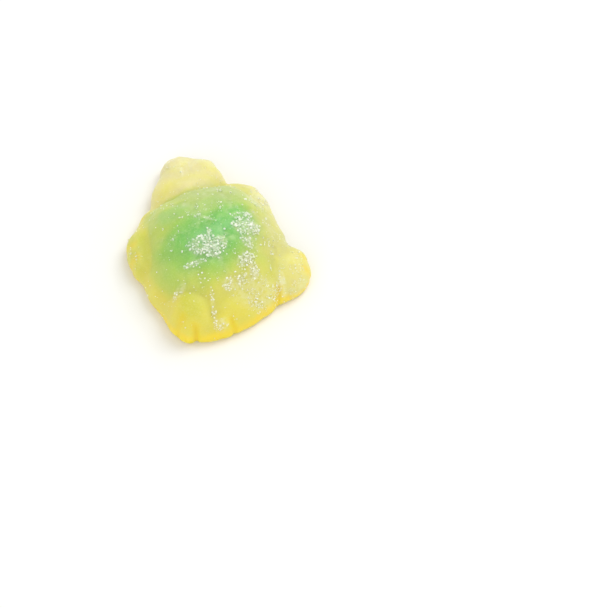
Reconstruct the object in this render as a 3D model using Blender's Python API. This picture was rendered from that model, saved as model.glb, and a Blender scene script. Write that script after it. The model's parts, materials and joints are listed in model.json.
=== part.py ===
"""Sour gummy turtle: one soft jelly sweet cast in an open mould, with coarse sugar on its back.

Sizes are in millimetres until the mesh is made, which is in metres. X runs to the
turtle's left, Y to its tail, Z up. The flat underside is at z = 0.
"""
from typing import NamedTuple

import bmesh
import bpy
import numpy as np
from mathutils import Matrix, Vector

# Driving sizes, in millimetres.
MM = 0.001
RIM_HEIGHT = 1.4
BASE_ROUNDING = 1.0
RIM_INSET = 3.2

# Every spoke starts at the hub, low inside the body.
HUB = np.array([0.2, -3.0, RIM_HEIGHT])

# How finely the skin is cut into faces.
SPOKES = 112
BACK_RINGS = 18
RIM_RINGS = 8
BASE_RINGS = 3
OUTLINE_SAMPLES = 720
OUTLINE_SHARE = 0.7
SHARP_EDGE = 50.0

# Marching along a ray to find the skin, in millimetres.
WIDEST_REACH = 30.0
TALLEST_REACH = 16.5
MARCH_STEP = 0.75
HALVINGS = 12


class Lobe(NamedTuple):
    """One swelling of the body: half of a squared ball that stands on the rim plane."""

    name: str
    left: float
    tail: float
    half_width: float
    half_length: float
    rise: float
    turn: float
    plan_power: float
    side_power: float
    blend: float


# Each lobe melts into the ones before it over its blend distance.
LOBES = (
    Lobe("belly", 0.6, -0.7, 14.8, 16.0, 5.6, 0.0, 2.5, 2.4, 0.0),
    Lobe("left flank", 9.7, 5.6, 4.9, 9.2, 4.8, 8.0, 2.4, 2.3, 2.6),
    Lobe("rump", -0.7, 10.6, 10.4, 4.7, 4.7, 22.0, 2.4, 2.3, 2.6),
    Lobe("shell", 0.9, -0.8, 12.9, 13.4, 12.4, 0.0, 2.6, 2.5, 2.6),
    Lobe("head", 0.5, -16.1, 7.8, 5.8, 6.6, 20.0, 2.6, 2.2, 1.4),
    Lobe("left brow", 0.8, -19.6, 3.7, 5.2, 5.6, 0.0, 2.6, 2.0, 1.4),
    Lobe("right brow", -3.8, -18.4, 3.1, 3.4, 5.5, 0.0, 2.6, 2.0, 1.4),
    Lobe("left foreleg", 11.5, -5.2, 5.4, 6.7, 6.3, -8.0, 2.1, 2.1, 0.9),
    Lobe("right foreleg", -9.1, -8.9, 4.4, 5.5, 6.6, 30.0, 2.1, 2.1, 1.4),
    Lobe("left hind leg", 9.4, 10.8, 4.7, 5.0, 7.4, -16.0, 2.1, 2.2, 0.9),
    Lobe("right hind leg", -10.7, 7.3, 5.9, 5.7, 6.2, -20.0, 2.1, 2.1, 1.3),
    Lobe("tail", 3.1, 15.0, 2.8, 2.0, 3.3, 0.0, 2.0, 2.0, 0.7),
)
SHELL = next(lobe for lobe in LOBES if lobe.name == "shell")

# Middles of the shell's low plates. The seams run halfway between them.
PLATES = (
    (-1.0, -5.6), (-5.1, -0.7), (3.2, 1.7), (-2.3, 7.0), (6.0, -5.3),
    (-7.9, -6.8), (9.0, 2.3), (5.3, 8.8), (-9.0, 5.3), (2.1, -11.3),
)
SEAM_DEPTH = 0.17
SEAM_WIDTH = 0.7
SHELL_REACH = (0.70, 0.98)


class Toes(NamedTuple):
    """Short grooves that split a foot's edge into toes, at bearings from the foot's middle."""

    left: float
    tail: float
    bearings: tuple
    start: float
    depth: float


# Bearings in degrees from the turtle's left towards its tail.
TOES = (
    Toes(8.9, 11.3, (28.0,), 2.6, 0.16),
    Toes(8.9, 11.3, (74.0,), 3.2, 0.42),
    Toes(3.6, 12.6, (104.0,), 2.2, 0.38),
    Toes(-11.0, 7.5, (61.0,), 4.4, 0.34),
    Toes(-11.0, 7.5, (150.0, 183.0), 3.4, 0.18),
    Toes(11.8, -4.7, (-28.0, 12.0), 3.0, 0.18),
    Toes(-9.1, -9.3, (-128.0, -168.0), 2.6, 0.18),
)
TOE_WIDTH = 0.6
TOE_FADE = 1.1

# A shallow crease runs down the face between the two brows.
FACE_CREASE = ((-2.2, -22.3), (0.6, -16.1))
FACE_CREASE_DEPTH = 0.12
FACE_CREASE_WIDTH = 0.5
FACE_CREASE_FADE = 2.0

# Slow waves that leave the cast skin uneven: wavelength, height, direction in degrees, phase.
# Each wave's crest wanders sideways, over a longer wave of its own.
WANDER = 0.8
WANDER_LENGTH = 1.7
WAVES = (
    (8.5, 0.12, 20.0, 0.4),
    (6.0, 0.08, 98.0, 2.1),
    (4.0, 0.05, 152.0, 4.4),
    (2.9, 0.03, 63.0, 1.2),
)


class Patch(NamedTuple):
    """A place on the back where sugar has stuck thickly."""

    left: float
    tail: float
    half_width: float
    half_length: float
    turn: float
    grains: int


PATCHES = (
    Patch(3.3, 2.8, 3.6, 2.2, -22.0, 44),
    Patch(1.9, 0.5, 0.5, 1.5, -12.0, 4),
    Patch(-5.4, 0.8, 2.7, 2.1, -10.0, 30),
    Patch(-5.5, -1.9, 2.4, 1.0, -4.0, 8),
    Patch(-4.5, 4.0, 1.2, 1.8, 20.0, 8),
    Patch(-3.2, 7.6, 2.2, 1.4, 15.0, 16),
    Patch(-3.9, 9.5, 1.0, 1.7, 10.0, 6),
    Patch(0.8, 10.3, 2.4, 0.9, 0.0, 9),
    Patch(6.7, 5.1, 2.3, 0.6, -4.0, 8),
    Patch(5.6, 12.6, 0.5, 3.0, -8.0, 9),
    Patch(0.5, -1.0, 12.0, 12.0, 0.0, 20),
)
GRAIN_SIZE = (0.28, 0.52)
GRAIN_THINNEST = 0.65
GRAIN_LIFT = 0.14
GRAIN_SPACING = 0.55
TRIES_PER_GRAIN = 60
SEED = 41


def turned(x, y, left, tail, turn):
    """Plan offsets from a middle, along axes that are turned by some degrees."""
    angle = np.radians(turn)
    across = (x - left) * np.cos(angle) + (y - tail) * np.sin(angle)
    along = (y - tail) * np.cos(angle) - (x - left) * np.sin(angle)
    return across, along


def lobe_size(x, y, z, lobe):
    """How many times too big a lobe would have to be to reach a point, and that ratio's slope."""
    across, along = turned(x, y, lobe.left, lobe.tail, lobe.turn)
    tiny = 1e-9
    a = np.abs(across / lobe.half_width) + tiny
    b = np.abs(along / lobe.half_length) + tiny
    c = np.abs((z - RIM_HEIGHT) / lobe.rise) + tiny
    n, m = lobe.plan_power, lobe.side_power
    plan = a ** n + b ** n
    ratio = (plan ** (m / n) + c ** m) ** (1 / m)
    common = ratio ** (1 - m)
    slope_across = common * plan ** (m / n - 1) * a ** (n - 1) / lobe.half_width
    slope_along = common * plan ** (m / n - 1) * b ** (n - 1) / lobe.half_length
    slope_up = common * c ** (m - 1) / lobe.rise
    return ratio, np.sqrt(slope_across ** 2 + slope_along ** 2 + slope_up ** 2)


def smooth_step(value, low, high):
    """0 below low, 1 above high, and an even curve between."""
    t = np.clip((value - low) / (high - low), 0.0, 1.0)
    return t * t * (3.0 - 2.0 * t)


def seam_relief(x, y):
    """Depth of the seams between the shell's plates."""
    to_seam = np.full(np.shape(x), np.inf)
    squares = [(x - left) ** 2 + (y - tail) ** 2 for left, tail in PLATES]
    nearest = np.minimum.reduce(squares)
    for i, own in enumerate(squares):
        for j, other in enumerate(squares):
            if i == j:
                continue
            apart = np.hypot(PLATES[i][0] - PLATES[j][0], PLATES[i][1] - PLATES[j][1])
            edge = (other - own) / (2.0 * apart)
            to_seam = np.where(own == nearest, np.minimum(to_seam, edge), to_seam)
    across, along = turned(x, y, SHELL.left, SHELL.tail, SHELL.turn)
    out = np.hypot(across / SHELL.half_width, along / SHELL.half_length)
    fade = 1.0 - smooth_step(out, *SHELL_REACH)
    return SEAM_DEPTH * np.exp(-((to_seam / SEAM_WIDTH) ** 2)) * fade


def toe_relief(x, y):
    """Depth of the grooves between the toes."""
    depth = np.zeros(np.shape(x))
    for foot in TOES:
        for bearing in foot.bearings:
            out, aside = turned(x, y, foot.left, foot.tail, bearing)
            groove = np.exp(-((aside / TOE_WIDTH) ** 2))
            depth += foot.depth * groove * smooth_step(out, foot.start, foot.start + TOE_FADE)
    return depth


def crease_relief(x, y):
    """Depth of the crease down the face."""
    (x0, y0), (x1, y1) = FACE_CREASE
    run = np.hypot(x1 - x0, y1 - y0)
    along = ((x - x0) * (x1 - x0) + (y - y0) * (y1 - y0)) / run
    aside = ((x - x0) * (y1 - y0) - (y - y0) * (x1 - x0)) / run
    start = smooth_step(along, 0.0, FACE_CREASE_FADE)
    end = 1.0 - smooth_step(along, run - FACE_CREASE_FADE, run)
    return FACE_CREASE_DEPTH * np.exp(-((aside / FACE_CREASE_WIDTH) ** 2)) * start * end


def wave_relief(x, y):
    """Slow unevenness of the cast skin."""
    depth = np.zeros(np.shape(x))
    for length, height, direction, phase in WAVES:
        across, along = turned(x, y, 0.0, 0.0, direction)
        bend = WANDER * np.sin(2.0 * np.pi * along / (WANDER_LENGTH * length) + 2.0 * phase)
        depth += height * np.sin(2.0 * np.pi * across / length + phase + bend)
    return depth


def depth_outside(x, y, z):
    """Roughly how far a point lies outside the skin, and below zero inside it."""
    out = None
    for lobe in LOBES:
        ratio, slope = lobe_size(x, y, z, lobe)
        away = (ratio - 1.0) / slope
        if out is None:
            out = away
            continue
        near = np.maximum(lobe.blend - np.abs(out - away), 0.0) / lobe.blend
        out = np.minimum(out, away) - near * near * lobe.blend / 4.0
    return out + seam_relief(x, y) + toe_relief(x, y) + crease_relief(x, y) + wave_relief(x, y)


def reach(start, heading, furthest):
    """Distance along each ray to the last place where it leaves the body."""
    count = len(start)
    inner = np.zeros(count)
    outer = np.zeros(count)
    found = np.zeros(count, bool)
    for distance in np.arange(furthest, -MARCH_STEP, -MARCH_STEP):
        point = start + heading * distance
        hit = (depth_outside(*point.T) < 0.0) & ~found
        inner[hit] = distance
        outer[hit] = distance + MARCH_STEP
        found |= hit
    for _ in range(HALVINGS):
        middle = (inner + outer) / 2.0
        inside = depth_outside(*(start + heading * middle[:, None]).T) < 0.0
        inner = np.where(inside, middle, inner)
        outer = np.where(inside, outer, middle)
    return (inner + outer) / 2.0


def spoke_angles(spokes):
    """Angles of the spokes, closer together where the outline runs along them."""
    fine = np.linspace(0.0, 2.0 * np.pi, OUTLINE_SAMPLES + 1)
    outward = np.stack([np.cos(fine), np.sin(fine), np.zeros(fine.size)], 1)
    radius = reach(np.tile(HUB, (fine.size, 1)), outward, WIDEST_REACH)
    edge = outward * radius[:, None]
    walked = np.concatenate([[0.0], np.cumsum(np.linalg.norm(np.diff(edge, axis=0), axis=1))])
    evened = walked / walked[-1] * OUTLINE_SHARE + fine / (2.0 * np.pi) * (1.0 - OUTLINE_SHARE)
    return np.interp(np.arange(spokes) / spokes, evened, fine)


def skin_rings(spokes, back_rings, rim_rings):
    """Rings of points from the middle of the back, over the rim, to the flat underside."""
    angles = spoke_angles(spokes)
    outward = np.stack([np.cos(angles), np.sin(angles), np.zeros(spokes)], 1)
    up = np.array([0.0, 0.0, 1.0])
    hub = np.tile(HUB, (spokes, 1))
    rim = reach(hub, outward, WIDEST_REACH)
    inner = rim - RIM_INSET
    rings = []
    for k in range(1, back_rings + 1):
        foot = hub + outward * (inner * k / back_rings)[:, None]
        rings.append(foot + up * reach(foot, np.tile(up, (spokes, 1)), TALLEST_REACH)[:, None])
    foot = hub + outward * inner[:, None]
    for k in range(1, rim_rings + 1):
        tilt = np.pi / 2.0 * (1.0 - k / rim_rings)
        heading = outward * np.cos(tilt) + up * np.sin(tilt)
        rings.append(foot + heading * reach(foot, heading, TALLEST_REACH)[:, None])
    for k in range(1, BASE_RINGS + 1):
        tilt = np.pi / 2.0 * k / BASE_RINGS
        radius = rim - BASE_ROUNDING * (1.0 - np.cos(tilt))
        rings.append(hub + outward * radius[:, None] - up * RIM_HEIGHT * np.sin(tilt))
    top = HUB + up * reach(hub[:1], up[None, :], TALLEST_REACH)[0]
    return np.array(rings), top


def centring(rings):
    """Plan shift that puts the middle of the body's box at the origin."""
    points = rings.reshape(-1, 3)
    shift = (points.min(0) + points.max(0)) / 2.0
    return np.array([shift[0], shift[1], 0.0])


def body_object(rings, pole, shift):
    """The closed jelly body, built ring by ring."""
    mesh = bpy.data.meshes.new("gummy_turtle")
    bm = bmesh.new()
    loops = [[bm.verts.new((point - shift) * MM) for point in ring] for ring in rings]
    top = bm.verts.new((pole - shift) * MM)
    bottom = bm.verts.new((pole[0] - shift[0], pole[1] - shift[1], 0.0))
    bottom.co *= MM
    count = len(loops[0])
    for i in range(count):
        j = (i + 1) % count
        bm.faces.new((top, loops[0][i], loops[0][j]))
        bm.faces.new((bottom, loops[-1][j], loops[-1][i]))
        for inner, outer in zip(loops, loops[1:]):
            bm.faces.new((inner[i], outer[i], outer[j], inner[j]))
    bmesh.ops.triangulate(bm, faces=bm.faces[:], quad_method="SHORT_EDGE")
    bmesh.ops.recalc_face_normals(bm, faces=bm.faces[:])
    bm.to_mesh(mesh)
    bm.free()
    body = bpy.data.objects.new("gummy_turtle", mesh)
    bpy.context.scene.collection.objects.link(body)
    return body


def skin_height(x, y):
    """Height of the back over a plan point."""
    foot = np.array([[x, y, RIM_HEIGHT]])
    return reach(foot, np.array([[0.0, 0.0, 1.0]]), TALLEST_REACH)[0] + RIM_HEIGHT


def grain_places(random):
    """Seeded places for the largest grains, thick in the patches and clear of each other."""
    places = []
    for patch in PATCHES:
        placed = 0
        for _ in range(patch.grains * TRIES_PER_GRAIN):
            if placed == patch.grains:
                break
            out = np.sqrt(random.random())
            angle = random.random() * 2.0 * np.pi
            across = out * np.cos(angle) * patch.half_width
            along = out * np.sin(angle) * patch.half_length
            tilt = np.radians(patch.turn)
            x = patch.left + across * np.cos(tilt) - along * np.sin(tilt)
            y = patch.tail + across * np.sin(tilt) + along * np.cos(tilt)
            if any(np.hypot(x - p[0], y - p[1]) < GRAIN_SPACING for p in places):
                continue
            places.append((x, y, skin_height(x, y)))
            placed += 1
    return places


def grain_matrix(place, random):
    """One grain's random size, squeeze and turn, for a block a millimetre across."""
    size = GRAIN_SIZE[0] + (GRAIN_SIZE[1] - GRAIN_SIZE[0]) * random.random() ** 2
    thin = GRAIN_THINNEST + (1.0 - GRAIN_THINNEST) * random.random(2)
    squeeze = Matrix.Diagonal((size, size * thin[0], size * thin[1], 1.0))
    turn = Matrix.Rotation(random.random() * 2.0 * np.pi, 4, Vector(random.normal(size=3)))
    move = Matrix.Translation((place[0], place[1], place[2] + size * GRAIN_LIFT))
    return move @ turn @ squeeze


def grain_object(matrix, collection):
    """One grain of sugar: a small uneven block, partly sunk in the skin."""
    mesh = bpy.data.meshes.new("grain")
    bm = bmesh.new()
    bmesh.ops.create_cube(bm, size=1.0)
    bmesh.ops.transform(bm, matrix=Matrix.Scale(MM, 4) @ matrix, verts=bm.verts[:])
    bm.to_mesh(mesh)
    bm.free()
    grain = bpy.data.objects.new("grain", mesh)
    collection.objects.link(grain)


def fuse(body, collection):
    """Joins the grains to the body as one solid, and drops the loose copies."""
    union = body.modifiers.new("sugar", "BOOLEAN")
    union.operation = "UNION"
    union.operand_type = "COLLECTION"
    union.collection = collection
    union.solver = "EXACT"
    with bpy.context.temp_override(object=body, active_object=body):
        bpy.ops.object.modifier_apply(modifier=union.name)
    for grain in list(collection.objects):
        mesh = grain.data
        bpy.data.objects.remove(grain)
        bpy.data.meshes.remove(mesh)
    bpy.data.collections.remove(collection)


def jelly_material():
    """Frosted yellow-green jelly."""
    material = bpy.data.materials.new("sour_jelly")
    material.use_nodes = True
    shader = material.node_tree.nodes["Principled BSDF"]
    shader.inputs["Base Color"].default_value = (0.62, 0.66, 0.17, 1.0)
    shader.inputs["Roughness"].default_value = 0.5
    shader.inputs["Metallic"].default_value = 0.0
    return material


def main():
    for item in list(bpy.data.objects):
        bpy.data.objects.remove(item)
    random = np.random.default_rng(SEED)
    rings, pole = skin_rings(SPOKES, BACK_RINGS, RIM_RINGS)
    shift = centring(rings)
    body = body_object(rings, pole, shift)
    grains = bpy.data.collections.new("grains")
    bpy.context.scene.collection.children.link(grains)
    for place in grain_places(random):
        grain_object(grain_matrix(np.array(place) - shift, random), grains)
    fuse(body, grains)
    body.data.materials.append(jelly_material())
    body.data.shade_smooth()
    body.data.set_sharp_from_angle(angle=np.radians(SHARP_EDGE))


main()
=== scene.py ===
"""Looks of the sour gummy turtle: frosted yellow-green jelly with large, coarse and fine sugar on it.

Plan places are in millimetres from the maker's middle, with X to the turtle's left and Y to
its tail, as in the solid. MIDDLE is where the row frame's origin lies in them.
"""
import json
from typing import NamedTuple

import bmesh
import bpy
import numpy as np
from bpy.props import FloatProperty, FloatVectorProperty, IntProperty, PointerProperty
from mathutils import Matrix, Vector

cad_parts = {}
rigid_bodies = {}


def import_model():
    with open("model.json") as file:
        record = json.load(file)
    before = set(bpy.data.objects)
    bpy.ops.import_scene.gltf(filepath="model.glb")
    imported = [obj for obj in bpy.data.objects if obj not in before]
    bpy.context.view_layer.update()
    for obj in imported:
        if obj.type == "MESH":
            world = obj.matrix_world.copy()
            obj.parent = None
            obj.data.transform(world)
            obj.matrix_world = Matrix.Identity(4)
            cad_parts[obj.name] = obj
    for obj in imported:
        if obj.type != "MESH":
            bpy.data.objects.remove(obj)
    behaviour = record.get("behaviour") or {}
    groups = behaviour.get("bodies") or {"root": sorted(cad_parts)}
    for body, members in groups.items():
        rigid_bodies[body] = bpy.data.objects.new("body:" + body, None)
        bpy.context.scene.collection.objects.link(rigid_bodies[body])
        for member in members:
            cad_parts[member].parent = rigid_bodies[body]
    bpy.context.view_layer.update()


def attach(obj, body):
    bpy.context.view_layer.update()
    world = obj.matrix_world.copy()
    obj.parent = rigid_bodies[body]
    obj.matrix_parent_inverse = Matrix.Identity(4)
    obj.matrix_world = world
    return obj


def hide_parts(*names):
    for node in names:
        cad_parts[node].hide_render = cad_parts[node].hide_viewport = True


bl_info = {
    "name": "Sour gummy turtle",
    "version": (1, 0, 0),
    "blender": (4, 5, 0),
    "location": "3D View > Sidebar > Gummy turtle",
    "description": "Casts a frosted jelly turtle, sticks sugar on its back and sets up a pale studio",
    "category": "Add Mesh",
}

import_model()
NODE = "gummy_turtle"
BODY = "root"
MM = 0.001

# The form, as in the solid. Lengths are in millimetres. Every spoke of the skin starts at the hub.
RIM_HEIGHT = 1.4
BASE_ROUNDING = 1.0
RIM_INSET = 3.2
HUB = np.array([0.2, -3.0, RIM_HEIGHT])
OUTLINE_SAMPLES = 720

# The spokes are spaced this much by the outline's length, and for the rest by angle.
OUTLINE_SHARE = 0.7

# Marching along a ray to find the skin.
WIDEST_REACH = 30.0
TALLEST_REACH = 16.5
MARCH_STEP = 0.75
HALVINGS = 12

# Keeps a power's base above zero.
TINY = 1e-9


class Lobe(NamedTuple):
    """One swelling of the body: half of a squared ball that stands on the rim plane."""

    name: str
    left: float
    tail: float
    half_width: float
    half_length: float
    rise: float
    turn: float
    plan_power: float
    side_power: float
    blend: float


# Each lobe melts into the ones before it over its blend distance.
LOBES = (
    Lobe("belly", 0.6, -0.7, 14.8, 16.0, 5.6, 0.0, 2.5, 2.4, 0.0),
    Lobe("left flank", 9.7, 5.6, 4.9, 9.2, 4.8, 8.0, 2.4, 2.3, 2.6),
    Lobe("rump", -0.7, 10.6, 10.4, 4.7, 4.7, 22.0, 2.4, 2.3, 2.6),
    Lobe("shell", 0.9, -0.8, 12.9, 13.4, 12.4, 0.0, 2.6, 2.5, 2.6),
    Lobe("head", 0.5, -16.1, 7.8, 5.8, 6.6, 20.0, 2.6, 2.2, 1.4),
    Lobe("left brow", 0.8, -19.6, 3.7, 5.2, 5.6, 0.0, 2.6, 2.0, 1.4),
    Lobe("right brow", -3.8, -18.4, 3.1, 3.4, 5.5, 0.0, 2.6, 2.0, 1.4),
    Lobe("left foreleg", 11.5, -5.2, 5.4, 6.7, 6.3, -8.0, 2.1, 2.1, 0.9),
    Lobe("right foreleg", -9.1, -8.9, 4.4, 5.5, 6.6, 30.0, 2.1, 2.1, 1.4),
    Lobe("left hind leg", 9.4, 10.8, 4.7, 5.0, 7.4, -16.0, 2.1, 2.2, 0.9),
    Lobe("right hind leg", -10.7, 7.3, 5.9, 5.7, 6.2, -20.0, 2.1, 2.1, 1.3),
    Lobe("tail", 3.1, 15.0, 2.8, 2.0, 3.3, 0.0, 2.0, 2.0, 0.7),
)
SHELL = next(lobe for lobe in LOBES if lobe.name == "shell")

# Middles of the shell's low plates. The seams run halfway between them.
PLATES = (
    (-1.0, -5.6), (-5.1, -0.7), (3.2, 1.7), (-2.3, 7.0), (6.0, -5.3),
    (-7.9, -6.8), (9.0, 2.3), (5.3, 8.8), (-9.0, 5.3), (2.1, -11.3),
)
SEAM_DEPTH = 0.17
SEAM_WIDTH = 0.7

# The seams fade out between these shares of the way to the shell's edge.
SHELL_REACH = (0.70, 0.98)


class Toes(NamedTuple):
    """Short grooves that split a foot's edge into toes, at bearings from the foot's middle."""

    left: float
    tail: float
    bearings: tuple
    start: float
    depth: float


# Bearings in degrees from the turtle's left towards its tail.
TOES = (
    Toes(8.9, 11.3, (28.0,), 2.6, 0.16),
    Toes(8.9, 11.3, (74.0,), 3.2, 0.42),
    Toes(3.6, 12.6, (104.0,), 2.2, 0.38),
    Toes(-11.0, 7.5, (61.0,), 4.4, 0.34),
    Toes(-11.0, 7.5, (150.0, 183.0), 3.4, 0.18),
    Toes(11.8, -4.7, (-28.0, 12.0), 3.0, 0.18),
    Toes(-9.1, -9.3, (-128.0, -168.0), 2.6, 0.18),
)
TOE_WIDTH = 0.6
TOE_FADE = 1.1

# A power under 1, so the painted shade in a toe groove is wider than the groove.
GROOVE_SHADE_SPREAD = 0.45

# A shallow crease runs down the face between the two brows, with a painted highlight along it.
FACE_CREASE = ((-2.2, -22.3), (0.6, -16.1))
FACE_CREASE_DEPTH = 0.12
FACE_CREASE_WIDTH = 0.5
FACE_CREASE_FADE = 2.0

# How far from two swellings' meeting the painted shade of their join still shows.
JOIN_REACH = 1.5

# The shell's edge is crisper on the left, and softer on the right and at the rear.
SHELL_EDGE = (0.9, 4.0)
SHELL_SOFTENS = (-12.0, 3.0)

# Slow waves that leave the cast skin uneven: wavelength, height, direction in degrees, phase.
# Each wave's crest wanders sideways. The last three waves are too fine for the solid.
WANDER = 0.8
WANDER_LENGTH = 1.7
WAVES = (
    (8.5, 0.12, 20.0, 0.4),
    (6.0, 0.08, 98.0, 2.1),
    (4.0, 0.05, 152.0, 4.4),
    (2.9, 0.03, 63.0, 1.2),
    (2.1, 0.018, 128.0, 3.0),
    (1.6, 0.014, 11.0, 5.1),
    (1.3, 0.012, 77.0, 0.9),
)


def turned(x, y, left, tail, turn):
    """Plan offsets from a middle, along axes that are turned by some degrees."""
    angle = np.radians(turn)
    across = (x - left) * np.cos(angle) + (y - tail) * np.sin(angle)
    along = (y - tail) * np.cos(angle) - (x - left) * np.sin(angle)
    return across, along


def beyond_lobe(x, y, z, lobe):
    """Roughly how far a point lies outside one lobe, and below zero inside it."""
    across, along = turned(x, y, lobe.left, lobe.tail, lobe.turn)
    a = np.abs(across / lobe.half_width) + TINY
    b = np.abs(along / lobe.half_length) + TINY
    c = np.abs((z - RIM_HEIGHT) / lobe.rise) + TINY
    n, m = lobe.plan_power, lobe.side_power
    plan = a ** n + b ** n
    ratio = (plan ** (m / n) + c ** m) ** (1 / m)
    common = ratio ** (1 - m)
    slope_across = common * plan ** (m / n - 1) * a ** (n - 1) / lobe.half_width
    slope_along = common * plan ** (m / n - 1) * b ** (n - 1) / lobe.half_length
    slope_up = common * c ** (m - 1) / lobe.rise
    return (ratio - 1.0) / np.sqrt(slope_across ** 2 + slope_along ** 2 + slope_up ** 2)


def smooth_step(value, low, high):
    """0 below low, 1 above high, and an even curve between."""
    t = np.clip((value - low) / (high - low), 0.0, 1.0)
    return t * t * (3.0 - 2.0 * t)


def seam_share(x, y):
    """1 along the seams between the shell's plates, and 0 away from them."""
    to_seam = np.full(np.shape(x), np.inf)
    squares = [(x - left) ** 2 + (y - tail) ** 2 for left, tail in PLATES]
    nearest = np.minimum.reduce(squares)
    for i, own in enumerate(squares):
        for j, other in enumerate(squares):
            if i == j:
                continue
            apart = np.hypot(PLATES[i][0] - PLATES[j][0], PLATES[i][1] - PLATES[j][1])
            edge = (other - own) / (2.0 * apart)
            to_seam = np.where(own == nearest, np.minimum(to_seam, edge), to_seam)
    across, along = turned(x, y, SHELL.left, SHELL.tail, SHELL.turn)
    out = np.hypot(across / SHELL.half_width, along / SHELL.half_length)
    fade = 1.0 - smooth_step(out, *SHELL_REACH)
    return np.exp(-((to_seam / SEAM_WIDTH) ** 2)) * fade


def toe_relief(x, y):
    """Depth of the grooves between the toes."""
    depth = np.zeros(np.shape(x))
    for foot in TOES:
        for bearing in foot.bearings:
            out, aside = turned(x, y, foot.left, foot.tail, bearing)
            groove = np.exp(-((aside / TOE_WIDTH) ** 2))
            depth += foot.depth * groove * smooth_step(out, foot.start, foot.start + TOE_FADE)
    return depth


def crease_relief(x, y):
    """Depth of the crease down the face."""
    (x0, y0), (x1, y1) = FACE_CREASE
    run = np.hypot(x1 - x0, y1 - y0)
    along = ((x - x0) * (x1 - x0) + (y - y0) * (y1 - y0)) / run
    aside = ((x - x0) * (y1 - y0) - (y - y0) * (x1 - x0)) / run
    start = smooth_step(along, 0.0, FACE_CREASE_FADE)
    end = 1.0 - smooth_step(along, run - FACE_CREASE_FADE, run)
    return FACE_CREASE_DEPTH * np.exp(-((aside / FACE_CREASE_WIDTH) ** 2)) * start * end


def wave_relief(x, y):
    """Slow unevenness of the cast skin."""
    depth = np.zeros(np.shape(x))
    for length, height, direction, phase in WAVES:
        across, along = turned(x, y, 0.0, 0.0, direction)
        bend = WANDER * np.sin(2.0 * np.pi * along / (WANDER_LENGTH * length) + 2.0 * phase)
        depth += height * np.sin(2.0 * np.pi * across / length + phase + bend)
    return depth


def depth_outside(x, y, z):
    """Roughly how far a point lies outside the skin, and below zero inside it."""
    out = None
    for lobe in LOBES:
        away = beyond_lobe(x, y, z, lobe)
        if out is None:
            out = away
            continue
        near = np.maximum(lobe.blend - np.abs(out - away), 0.0) / lobe.blend
        out = np.minimum(out, away) - near * near * lobe.blend / 4.0
    seams = SEAM_DEPTH * seam_share(x, y)
    return out + seams + toe_relief(x, y) + crease_relief(x, y) + wave_relief(x, y)


def join_share(x, y, z):
    """1 where two swellings melt into each other, and 0 away from such places, for the painted shade in the
    joins.
    """
    out = None
    share = np.zeros(np.shape(x))
    for lobe in LOBES:
        away = beyond_lobe(x, y, z, lobe)
        if out is None:
            out = away
            continue
        near = np.maximum(JOIN_REACH - np.abs(out - away), 0.0) / JOIN_REACH
        share = np.maximum(share, near)
        out = np.minimum(out, away)
    return share * share


def shell_share(x, y, z):
    """1 on the shell, 0 on the rest of the body, and a blend where they meet."""
    on_shell = None
    elsewhere = np.full(np.shape(x), np.inf)
    for lobe in LOBES:
        away = beyond_lobe(x, y, z, lobe)
        if lobe is SHELL:
            on_shell = away
        else:
            elsewhere = np.minimum(elsewhere, away)
    edge = SHELL_EDGE[0] + (SHELL_EDGE[1] - SHELL_EDGE[0]) * smooth_step(y / 2.0 - x, *SHELL_SOFTENS)
    return smooth_step(elsewhere - on_shell, -edge, edge)


def reach(start, heading, furthest):
    """Distance along each ray to the last place where it leaves the body."""
    count = len(start)
    inner = np.zeros(count)
    outer = np.zeros(count)
    found = np.zeros(count, bool)
    for distance in np.arange(furthest, -MARCH_STEP, -MARCH_STEP):
        point = start + heading * distance
        hit = (depth_outside(*point.T) < 0.0) & ~found
        inner[hit] = distance
        outer[hit] = distance + MARCH_STEP
        found |= hit
    for _ in range(HALVINGS):
        middle = (inner + outer) / 2.0
        inside = depth_outside(*(start + heading * middle[:, None]).T) < 0.0
        inner = np.where(inside, middle, inner)
        outer = np.where(inside, outer, middle)
    return (inner + outer) / 2.0


def outline():
    """Angles round the hub, and the body's edge in each of those directions."""
    angles = np.linspace(0.0, 2.0 * np.pi, OUTLINE_SAMPLES + 1)
    outward = np.stack([np.cos(angles), np.sin(angles), np.zeros(angles.size)], 1)
    radius = reach(np.tile(HUB, (angles.size, 1)), outward, WIDEST_REACH)
    return angles, HUB + outward * radius[:, None]


def outline_middle():
    """The middle of the outline's box, which is the row frame's origin."""
    edge = outline()[1]
    middle = (edge.min(0) + edge.max(0)) / 2.0
    return np.array([middle[0], middle[1], 0.0])


def spoke_angles(spokes):
    """Angles of the spokes, closer together where the outline runs along them."""
    fine, edge = outline()
    walked = np.concatenate([[0.0], np.cumsum(np.linalg.norm(np.diff(edge, axis=0), axis=1))])
    evened = walked / walked[-1] * OUTLINE_SHARE + fine / (2.0 * np.pi) * (1.0 - OUTLINE_SHARE)
    return np.interp(np.arange(spokes) / spokes, evened, fine)


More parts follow.
